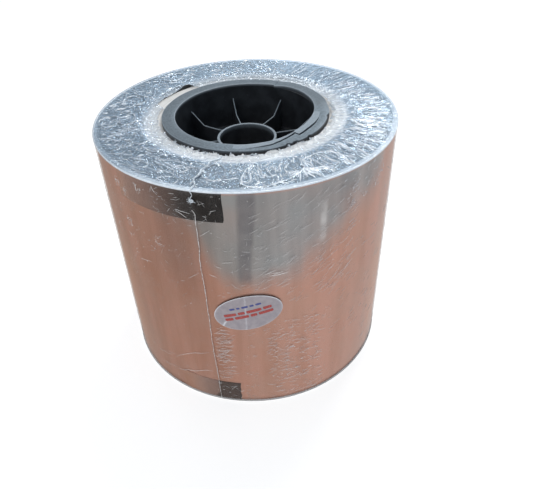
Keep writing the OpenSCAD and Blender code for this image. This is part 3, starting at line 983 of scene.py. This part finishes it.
def add_side_folds(film):
    """Creases of the sleeve: columns of short ones, fine slanting ones, long bent ones and flecks."""
    rng = np.random.default_rng(17)

    def scatter(count, az_range, drop_range, angle, spread, length, width, mark, bend=0.25):
        az = rng.uniform(*az_range, count)
        z = FILM_Z1 - rng.uniform(*drop_range, count)
        spots = np.stack([np.radians(az) * ROLL_R, z], axis=-1)
        turn = np.radians(angle + rng.normal(0, spread, count))
        lines = strokes(rng, spots, turn, rng.uniform(*length, count), rng.normal(0, bend, count))
        shift = lines - [LABEL_AZ * ROLL_R, LABEL_Z]
        across = shift @ [cos(LABEL_TILT), sin(LABEL_TILT)] / (LABEL_L / 2)
        upward = shift @ [-sin(LABEL_TILT), cos(LABEL_TILT)] / (LABEL_W / 2)
        clear = (np.hypot(across, upward) > 1.08).all(axis=1)
        to_ends = np.minimum(lines[..., 1] - FILM_Z0, FILM_Z1 - lines[..., 1])
        clear &= (to_ends > 1.3).all(axis=1)
        lines = lines[clear]
        high_up = step(lines[:, 0, 1], FILM_Z1 - 60, FILM_Z1 - 30)
        matt = 0.6 * (1 - high_up * window(np.degrees(lines[:, 0, 0] / ROLL_R), -56, 20, 14))
        random_folds(film, rng, lines, width, (0.06, 0.16), mark, side_place, 1.4, matt)

    # Right of the weld, from the label down
    scatter(120, (-106.5, -100.5), (70, 120), 4, 7, (2.2, 6.5), (0.14, 0.26), (0.3, 0.8))
    scatter(46, (-106, -100), (82, 104), 36, 9, (3, 7), (0.12, 0.22), (0.3, 0.85))
    # Under the label and the strong group at its right
    scatter(46, (-96, -91), (80, 136), 3, 8, (1.2, 3), (0.12, 0.2), (0.2, 0.7))
    scatter(260, (-86, -64), (76, 136), -4, 14, (1.5, 6.0), (0.13, 0.26), (0.2, 0.85), 0.5)
    scatter(60, (-86, -72), (96, 122), -8, 30, (0.8, 3), (0.16, 0.3), (0.35, 1.0), 0.9)
    scatter(60, (-88, -76), (78, 98), 24, 10, (1.5, 4), (0.13, 0.22), (0.3, 0.9))
    # Fine slanting ones, upper right
    scatter(240, (-90, -52), (5, 64), 30, 10, (3, 9), (0.10, 0.19), (0.25, 0.85))
    scatter(60, (-70, -36), (40, 100), 30, 20, (2, 6), (0.10, 0.18), (0.35, 0.6))
    # Middle band, both ways
    scatter(90, (-104, -84), (20, 66), 12, 30, (1.2, 4.5), (0.11, 0.2), (0.2, 0.85))
    scatter(3, (-86, -82), (43, 46), 14, 5, (6, 8), (0.2, 0.3), (0.9, 1.0), 0.1)
    # Left of the weld
    scatter(80, (-150, -110), (8, 60), 18, 30, (0.8, 3.5), (0.12, 0.22), (0.2, 0.8))
    scatter(30, (-146, -112), (30, 70), 50, 14, (3, 9), (0.10, 0.16), (0.15, 0.6))
    scatter(4, (-136, -114), (100, 126), 16, 9, (9, 16), (0.10, 0.16), (0.35, 0.6), 0.3)
    # Five clusters of short ones: azimuth in degrees and drop from the rim
    for middle, drop in ((-141, 9), (-137, 11), (-138, 28), (-124, 31), (-129, 6)):
        scatter(16, (middle - 1.6, middle + 1.6), (drop - 2.5, drop + 2.5), 45, 60, (1, 3), (0.2, 0.35),
                (0.3, 0.8), 1.8)
    for az, z, slope, length, width, bend in LONG_CREASES:
        spot = np.array([[radians(az) * ROLL_R, z]])
        line = strokes(rng, spot, np.radians([slope]), np.array([length]), np.array([bend]))
        folds(film, line, np.array([width]), np.array([0.12]), np.array([0.9]), side_place, matt=0.6)
    # Over the tapes
    scatter(60, (-124, -99), (2, 17), 28, 40, (1, 4), (0.11, 0.2), (0.25, 0.9))
    scatter(16, (-107.5, -97), (121, 136), 20, 35, (1, 3.4), (0.12, 0.2), (0.4, 1.0))
    # Upper right, under the rim
    scatter(70, (-58, -36), (2, 18), 20, 50, (0.8, 3), (0.14, 0.26), (0.4, 1.0), 0.9)
    # Flecks and loose creases all round
    scatter(520, (-175, -10), (4, 134), 0, 90, (0.3, 0.9), (0.14, 0.3), (0.25, 1.0))
    scatter(340, (-10, 185), (4, 134), 0, 90, (0.3, 1.0), (0.16, 0.32), (0.2, 0.9))
    scatter(300, (-40, 205), (6, 134), 10, 30, (2, 8), (0.12, 0.24), (0.45, 0.8))


def build_weld():
    """The weld: a thin milky bead down the side, a knot and a hook near the top, and on over the end."""
    bead, clear = Shape(), Shape()
    rng = np.random.default_rng(23)

    def run(z, az_deg, thick, shape=bead):
        az = np.radians(az_deg)
        r = side_radius(az, z) + 0.12
        radii = thick * (1 + 0.25 * noise(plan(0, 0, z), 2.0, 24))
        tube(shape, round_axis(r, az, z), radii)

    z = np.linspace(FILM_Z0 + 1, FILM_Z1 - 12, 260)
    wander = 0.30 * noise(plan(0, 0, z), 14, 25) + 0.10 * noise(plan(0, 0, z), 3, 26)
    run(z, degrees(WELD_AZ) + 0.15 + wander + 0.75 * (1 - step(z, 0, 95)), 0.16)
    hook = np.linspace(0, 1, 16)
    run(FILM_Z1 - 12 + 2.2 * hook, degrees(WELD_AZ) + 0.15 + wander[-1] - 0.9 * hook**2, 0.19)
    knot = np.linspace(0, 2 * pi, 24)
    for k in range(6):
        reach, spin = 0.25 + 0.09 * k, rng.uniform(0, 6)
        az = degrees(WELD_AZ) - 0.2 + reach * np.cos(knot + spin)
        run(FILM_Z1 - (5.1 + rng.normal(0, 0.15) + 1.0 * reach * np.sin(knot + spin)), az, 0.19, clear)
    for turn in rng.uniform(0, 6.3, 8):
        t = np.linspace(0, 1, 6)
        az = degrees(WELD_AZ) - 0.2 + 1.5 * t * cos(turn)
        run(FILM_Z1 - (5.1 + 1.9 * t * sin(turn)), az, 0.15 - 0.09 * t, clear)
    top = np.linspace(FILM_Z1 - 4.6, FILM_Z1 - 0.6, 20)
    run(top, degrees(WELD_AZ) + 0.5 * noise(plan(0, 0, top), 2, 27), 0.20, clear)
    r = np.linspace(ROLL_R - RIM_TURN, 45.5, 90)
    az = np.radians(np.interp(r, [45, 51, 58, 64, 76], [-104.5, -107.6, -109.2, -109.4, -108.4]))
    az = az + 0.010 * noise(plan(r, 0.0, 0.0), 4, 28)
    at = round_axis(r, az, 0.0)[:, :2]
    radii = 0.36 * (1 + 0.6 * noise(plan(r, 0.0, 0.0), 1.6, 29))
    tube(clear, end_place(False)(at, 0.24), radii)
    for k in range(26):
        root = at[rng.integers(8, 80)]
        turn = rng.uniform(0, 2 * pi)
        t = np.linspace(0, 1, 6)[:, None]
        spur = root + t * rng.uniform(0.8, 2.2) * np.array([cos(turn), sin(turn)])
        tube(clear, end_place(False)(spur, 0.15), 0.16 * (1 - 0.7 * t[:, 0]))
    corner = np.linspace(0, pi / 2, 10)
    az = np.full(10, float(WELD_AZ))
    path = round_axis(ROLL_R - RIM_TURN * (1 - np.cos(corner)) + 0.05, az,
                      FILM_Z1 - RIM_TURN + RIM_TURN * np.sin(corner))
    tube(clear, path, 0.22)
    milky = weld_plastic("weld_plastic", (0.50, 0.45, 0.42), (0.80, 0.78, 0.77))
    film_piece("film_weld", bead, milky)
    bluish = weld_plastic("weld_plastic_clear", (0.62, 0.68, 0.74), (0.92, 0.96, 1.0))
    film_piece("film_weld_end", clear, bluish)


# ---------------------------------------------------------------- the label

def label_place(a, b, lift):
    """Places points by distance along and across the label and lift above the film."""
    u = a * cos(LABEL_TILT) - b * sin(LABEL_TILT)
    v = a * sin(LABEL_TILT) + b * cos(LABEL_TILT)
    return round_axis(ROLL_R + lift, LABEL_AZ + u / ROLL_R, LABEL_Z + v)


def build_label():
    """Oval label with a pale cut rim and an upright crease, and plain printed bars."""
    label = Shape()
    t = np.linspace(0, 2 * pi, 144, endpoint=False)[None, :]
    k = np.linspace(0, 1, 26)[1:, None]
    a, b = LABEL_L / 2 * k * np.cos(t), LABEL_W / 2 * k * np.sin(t)
    upright = a * cos(LABEL_TILT) - b * sin(LABEL_TILT)
    fold = np.exp(-(((upright + 1.2) / 0.32) ** 2))
    side_fold = np.exp(-(((upright + 9.5 - 0.6 * b) / 0.5) ** 2)) * (np.abs(b + 5) < 2.5)
    waves = 0.02 * noise(plan(a, b), 3, 201)
    top = label_place(a, b, LABEL_T * (0.75 + 0.25 * fold) + waves * (1 - k**6))
    rim = step(k, 0.955, 0.985) * (0.35 + 0.65 * step(b / LABEL_W, -0.1, 0.25)) + 0 * t
    crease = np.clip(0.35 * fold + 0.9 * side_fold + rim, 0, 1)
    label.grid(top, ring=True, crease=crease)
    label.fan(top[0], flip=True, crease=0.0)
    under = label_place(a[-1:], b[-1:], -0.02)
    label.grid(np.concatenate([top[-1:], under]), ring=True, crease=1.0)
    piece("oval_label_face", label, label_face(), "roll", ["oval_label"])

    def bars(name, material, rows):
        ink = Shape()
        for middle, high, lengths in rows:
            at = -(sum(lengths) + 0.9 * (len(lengths) - 1)) / 2
            for length in lengths:
                n = max(3, int(length / 0.4))
                a = at + length * np.linspace(0, 1, n)
                ends = np.minimum(np.linspace(0, 1, n), np.linspace(1, 0, n)) * length
                round_off = np.sqrt(np.clip(1 - (1 - np.clip(ends / 0.45, 0, 1)) ** 2, 0, 1)) * 0.25 + 0.75
                v = np.linspace(-0.5, 0.5, 5)[:, None]
                b = middle + high * v * round_off
                crown = LABEL_T + 0.035 - 0.02 * (2 * v) ** 4
                ink.grid(label_place(a[None, :] + 0 * b, b, crown))
                at += length + 0.9
        piece(name, ink, material, "roll", ["oval_label"])

    bars("label_bars_red", print_ink("red_ink", (0.40, 0.045, 0.04), (0.52, 0.14, 0.12)),
         [(0.9, 1.7, [6.2, 3.4, 7.4, 4.2]), (-1.7, 1.7, [4.0, 7.0, 3.2, 7.2])])
    bars("label_bars_blue", print_ink("blue_ink", (0.055, 0.07, 0.26), (0.14, 0.15, 0.34)),
         [(4.4, 1.2, [2.6, 1.6, 3.2, 2.0, 2.8])])


# ---------------------------------------------------------------- the plugs

def flange_edge(az, worn):
    """Radius of the flange's outer edge, chipped and pushed in where it has split."""
    deg = np.degrees((az + pi) % (2 * pi) - pi)
    where = round_axis(42, az, 0.0)
    edge = PLUG_R - 0.1 + 0.05 * noise(where, 9, 301)
    if worn:
        chips = step(noise(where, 3.2, 302), 0.05, 0.6) * 0.9
        edge = edge - (0.6 + chips) * window(deg, -66, -16, 9) + 0.5 * window(deg, 15, 48, 12)
    return edge


def constant(value):
    """A profile that has the same value all round."""
    return lambda deg: value + 0 * deg


def split_gap(deg):
    """Half the width of the split: widest by its jag, closed at its ends."""
    return SPLIT_HALF * window(deg, -66, -38, 26)


def split_line(deg):
    """Radius of the split in the flange. It dips inwards, then jumps out at a jag."""
    left = np.interp(deg, [SPLIT_START, -92, -73, -64, SPLIT_JAG], [39.9, 39.7, 38.7, 37.0, 34.9])
    right = np.interp(deg, [SPLIT_JAG, -38, -19, SPLIT_END], [37.7, 37.1, 37.6, 37.4])
    shake = 0.14 * noise(round_axis(38, np.radians(deg), 0.0), 1.6, 303)
    return np.where(deg < SPLIT_JAG, left, right) + shake


def lip_line(deg):
    """Radius of the bowl's mouth along the split flange, where the lip has been pushed in."""
    lip = np.interp(deg, *zip((-112, 35.6), (-90, 35.6), (-73, 35.3), (-61, 34.6), (-46, 33.4), (-39, 33.3),
                              (-23, 33.4), (-13, 34.0), (-3, 34.8), (6, 35.4), (12, 35.8), (26, 36.4),
                              (36, 36.8), (43, 36.9), (50, 36.5), (56, 35.9), (62, 35.1)))
    return lip + 0.06 * noise(round_axis(35, np.radians(deg), 0.0), 2.5, 304)


def swept(shape, deg0, deg1, inner, outer, top, bottom, inner_bevel=constant(1),
          outer_bevel=constant(1), pale=0.0):
    """Part of a ring from azimuth deg0 to deg1, with bevelled upper edges and closed ends."""
    count = max(6, int((deg1 - deg0) / 0.4))
    deg = np.linspace(deg0, deg1, count)
    az = np.radians(deg)
    r0, r1, high = inner(deg), outer(deg), top(deg)
    low = bottom + 0 * az
    in_by, out_by = 0.32 * inner_bevel(deg), 0.32 * outer_bevel(deg)
    rows = [(r0, low), (r1, low), (r1, high - out_by), (r1 - out_by * 0.6, high - out_by * 0.2),
            (r1 - out_by * 1.5, high), ((r0 * 2 + r1) / 3, high), (r0 + in_by * 1.5, high),
            (r0 + in_by * 0.6, high - in_by * 0.2), (r0, high - in_by)]
    points = np.stack([round_axis(r, az, z) for r, z in rows])
    # Painted light: the flange's top is marked lighter towards the front and right, where more light falls
    front = 0.66 + 0.34 * window(np.where(deg > 180, deg - 360, deg), -104, -12, 24)
    # The top face is marked grey: partly scuffs, partly painted sheen
    marks = np.array([0, 0, 0.35, 0.9, 1, 1, 1, 0.9, 0.35])[:, None] * front
    # Paler bevel edges: partly edge wear, partly painted highlight
    edge = np.array([0, 0, 0, 0.3, 0, 0, 0.1, 0.5, 0.2])[:, None] * inner_bevel(deg)
    # pale lays a painted reflection over the top of the pushed-in lip
    edge = edge + np.array([0, 0, 0, 1, 1, 1, 1, 0.5, 0.2])[:, None] * pale
    chipped = np.array([0, 0, 0.15, 0.5, 0.2, 0, 0, 0, 0])[:, None]
    chipped = chipped * window(deg, -36, 4, 8) * outer_bevel(deg)
    shape.grid(points, tube=True, wear=marks, edge=np.maximum(edge, chipped))
    shape.fan(points[:, 0], wear=0.3)
    shape.fan(points[:, -1], flip=True, wear=0.3)


def plug_shape(worn):
    """A plug with its flange's face at height 0, sleeve below. A worn one has the split flange."""
    plug = Shape()
    skin = 1.3
    top = -skin
    profile = outline([
        (HUB_HOLE_R, -HUB_DROP, 0.4), (HUB_R, -HUB_DROP, 0.4), (HUB_R, -BOWL_DEPTH, 1.0),
        (BOWL_FLOOR_R, -BOWL_DEPTH, 1.5), (BOWL_R, top, 0), (PLUG_R - 0.1, top, 0),
        (PLUG_R - 0.1, -FLANGE_T, 0.2), (SLEEVE_R, -FLANGE_T, 0.4),
        (SLEEVE_R, -PLUG_DEPTH, 0.5), (HUB_HOLE_R, -PLUG_DEPTH, 0.4)], steps=5, spacing=3)

    def rim(r, az, z):
        return np.where(r > PLUG_R - 0.3, flange_edge(az, worn) + 0 * r, r)

    body = turned(profile, 288, radius=rim)
    r, z = np.hypot(body[..., 0], body[..., 1]), body[..., 2]
    # A painted highlight along the hub's rim
    hub_rim = step(z, -HUB_DROP - 0.7, -HUB_DROP - 0.15) * (r < HUB_R + 0.1)
    plug.grid(body, ring=True, tube=True, wear=0.8 * hub_rim, edge=0.30 * hub_rim)

    def outer(deg):
        return flange_edge(np.radians(deg), worn) - 0.02

    if worn:
        shift = 0.45
        foot = -skin - 0.2

        def bevel(deg):
            return 0.8 * split_gap(deg) / SPLIT_HALF

        swept(plug, LIP_END, 360 + SPLIT_START, lambda d: BOWL_R + 0.5 * (1 - step(d, LIP_END, 84)), outer,
              constant(0.0), foot)
        swept(plug, SPLIT_END, LIP_END, lip_line, outer, lambda d: -0.12 + 0.45 * window(d, 14, 50, 12), foot)
        swept(plug, SPLIT_START, SPLIT_END, lambda d: split_line(d + shift) + split_gap(d), outer,
              lambda d: -0.12 - 0.15 * window(d, -80, -30, 15), foot, inner_bevel=bevel)
        # The pushed-in lip, with a painted reflection on its top
        swept(plug, SPLIT_START, SPLIT_END, lip_line, lambda d: split_line(d - shift) - split_gap(d),
              lambda d: -0.12 + 0.12 * window(d, -80, -30, 15), -skin, outer_bevel=bevel, pale=0.26)
    else:
        swept(plug, 0, 360, constant(BOWL_R), outer, constant(0.0), -skin - 0.2)
    for k in range(FIN_COUNT):
        add_fin(plug, FIN_AZ + k * 2 * pi / FIN_COUNT)
    return plug


def add_fin(plug, az):
    """A fin with a thin rounded crest, level from the hub and then up to the bowl's wall."""
    crest = outline([(HUB_R - 0.5, -HUB_DROP - 0.35, 0), (FIN_KINK_R, -FIN_KINK_DROP, 2.0),
                     (BOWL_R - 0.1, -FIN_END_DROP, 0)], closed=False, steps=6, spacing=1.2)
    foot = crest.copy()
    foot[:, 1] = -BOWL_DEPTH - 0.3
    ahead, aside = np.array([cos(az), sin(az)]), np.array([-sin(az), cos(az)])

    def row(line, offset, drop):
        flat = line[:, :1] * ahead + offset * aside
        return np.column_stack([flat, line[:, 1] - drop])

    rows = [row(foot, -FIN_T / 2, 0), row(crest, -0.34, 0.5), row(crest, -0.20, 0.10),
            row(crest, 0, 0), row(crest, 0.20, 0.10), row(crest, 0.34, 0.5),
            row(foot, FIN_T / 2, 0)]
    # A painted highlight along the crest
    painted_highlight = np.array([0, 0.0, 0.8, 1, 0.8, 0.0, 0])[:, None] + 0 * crest[:, 0]
    plug.grid(np.stack(rows), wear=painted_highlight, edge=0.30 * painted_highlight)


def build_plugs():
    """Both plugs. The lower one is the same moulding turned over, with a whole flange."""
    plastic = black_plastic()
    upper = plug_shape(True)
    upper.points = [p + [0, 0, PLUG_TOP] for p in upper.points]
    lower = plug_shape(False)
    lower.points = [p * [1, -1, -1] for p in lower.points]
    piece("plug_upper", upper, plastic, "upper_plug", ["top_plug"], sharp=55)
    piece("plug_lower", lower, plastic, "lower_plug", ["bottom_plug"], sharp=55)


# ---------------------------------------------------------------- stage, lights and camera, in metres

def area_light(name, power, size, azimuth, elevation, distance, colour):
    """A square soft light that looks at the roll from a direction in degrees."""
    light = bpy.data.lights.new(name, "AREA")
    light.energy, light.size, light.color = power, size, colour
    obj = bpy.data.objects.new(name, light)
    az, el = radians(azimuth), radians(elevation)
    towards = Matrix.Rotation(az + pi / 2, 3, "Z") @ Matrix.Rotation(pi / 2 - el, 3, "X")
    obj.rotation_euler = towards.to_euler()
    middle = np.array([0, 0, PLUG_TOP * MM])
    arm = np.array([cos(el) * cos(az), cos(el) * sin(az), sin(el)])
    obj.location = middle + distance * arm
    bpy.context.scene.collection.objects.link(obj)


def build_stage():
    """Pale floor, sky and soft lights."""
    ground = Shape()
    half = 4 / MM
    corners = [[-half, -half, 0], [half, -half, 0], [half, half, 0], [-half, half, 0]]
    ground.add(np.array(corners), [[0, 1, 2, 3]])
    floor = bpy.data.objects.new("floor", ground.mesh("floor"))
    bpy.context.scene.collection.objects.link(floor)
    floor.data.materials.append(floor_paint())
    floor.visible_glossy = False
    build_sky()
    area_light("key_back_right", 4.3, 0.30, 62, 60, 0.9, (1.0, 0.99, 0.97))
    area_light("back_left", 0.6, 0.20, 124, 56, 0.9, (0.93, 0.97, 1.0))
    area_light("front_left", 2.0, 0.40, -140, 48, 1.0, (1.0, 0.98, 0.96))


def build_sky():
    """A soft sky: bright and bluish low at the back, more so at the right, dim overhead and warm below."""
    world = bpy.data.worlds.new("sky")
    bpy.context.scene.world = world
    world.use_nodes = True
    n = Nodes(world.node_tree, "Generated")
    x, y, z = n.split()
    back = n.spread(y, -0.4, 0.7)
    side = n.spread(x, -0.28, 0.0, 0.03, 0.54)
    side = n.times(side, n.spread(x, 0.02, 0.3, 1.0, 0.76))
    bright = n.times(n.times(back, side), n.spread(z, 0.92, 0.35))
    above = n.mix(bright, (0.40, 0.46, 0.52), (1.52, 1.80, 2.06))
    below = n.tone(x, -1.0, 0.62, (0.43, 0.36, 0.30), (0.67, 0.65, 0.64))
    colour = n.tone(z, -0.12, 0.06, below, above)
    n.join(colour, world.node_tree.nodes["Background"].inputs["Color"])


def build_camera():
    """A camera in front of the roll and above it, at the height of the reader's eye over a bench."""
    pan, tilt, roll = radians(1.8140), radians(38.4627), radians(-2.2371)
    camera = bpy.data.cameras.new("camera")
    camera.sensor_width, camera.lens = 36.0, 35.784
    camera.clip_start, camera.clip_end = 0.01, 20.0
    obj = bpy.data.objects.new("camera", camera)
    turn = Matrix.Rotation(-pan, 3, "Z") @ Matrix.Rotation(pi / 2 - tilt, 3, "X")
    obj.matrix_world = (turn @ Matrix.Rotation(roll, 3, "Z")).to_4x4()
    obj.location = (0.0, -0.25295, 0.25208)
    bpy.context.scene.collection.objects.link(obj)
    bpy.context.scene.camera = obj


bpy.context.scene.view_settings.view_transform = "Standard"
build_camera()
build_stage()

TAPE_BLACK = black_tape()
FILM_END = clear_film("film_end_clear", (0.60, 0.71, 0.82), 0.012, 2.6,
                      lambda s: film_crumple(s, 2.4), 0.34, 0.12)
FILM_SIDE = clear_film("film_side_clear", (0.74, 0.71, 0.70), 0.004, 0.6,
                       lambda s: s.noise(2.4, detail=5, roughness=0.65, distortion=1.2), 0.05, 0.16)

build_foil()
build_core()
build_tape("tape_strip_top", "tail_tape_top", TAPE_END_AZ - 0.007, radians(41),
           PACK_Z1 - 14.8, PACK_Z1 - 0.3, [(-0.5, 0), (1.5, 0.02), (5, 0.05), (8, 0.15), (13, 0.28),
                                           (19, 0.5), (28, 0.74), (41, 0.93)], 121)
build_tape("tape_strip_bottom", "tail_tape_bottom", TAPE_END_AZ, radians(26),
           PACK_Z0 + 0.3, PACK_Z0 + 15, [(-0.5, 0.16), (1.0, 0.68), (8, 0.84), (20, 1.0)], 131)
build_film_side()
for low in (False, True):
    build_film_end(low)
build_weld()
build_label()
build_plugs()
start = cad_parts["start_tape"]
start.data.materials.clear()
start.data.materials.append(masking_tape())
